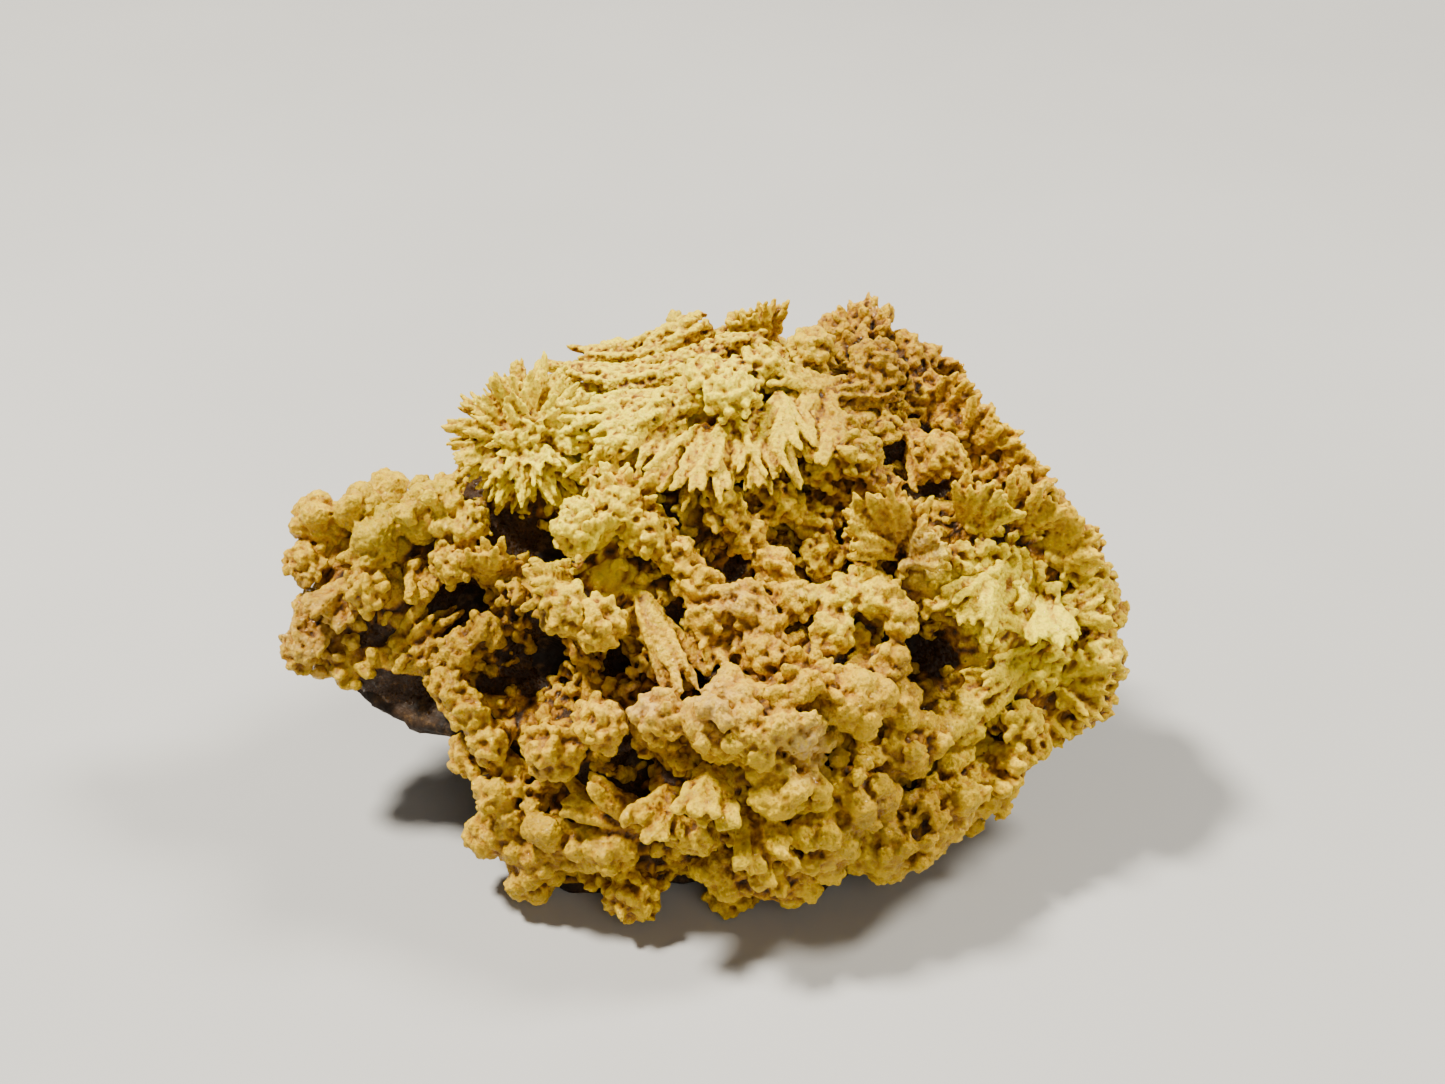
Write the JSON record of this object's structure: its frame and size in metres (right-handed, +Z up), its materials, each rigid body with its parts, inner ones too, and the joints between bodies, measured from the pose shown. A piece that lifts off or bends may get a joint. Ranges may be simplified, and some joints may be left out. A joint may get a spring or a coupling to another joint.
{
  "type": "mimetite cluster",
  "caption": "Mineral specimen: a crust of radiating yellow mimetite sprays, fans and knobs over a dark broken iron-oxide matrix, resting on a flat break.",
  "frame": {"origin": "near the middle of the flat break that the specimen rests on, on the ground", "axes": "+Z up; +X along the specimen's longest side, towards its rounded right end; the show face looks to -Y and up"},
  "size_m": [0.0446, 0.0291, 0.026],
  "materials": {
    "matrix_rock": "rough dark brown to black iron-oxide rock with ochre dust, matte with a few glints",
    "mimetite": "pale cream to golden yellow crystal crust, orange-brown in the recesses, waxy, sparkling in places"
  },
  "bodies": {
    "root": {"matrix": "matrix_rock", "mimetite_crust": "mimetite"}
  },
  "joints": []
}
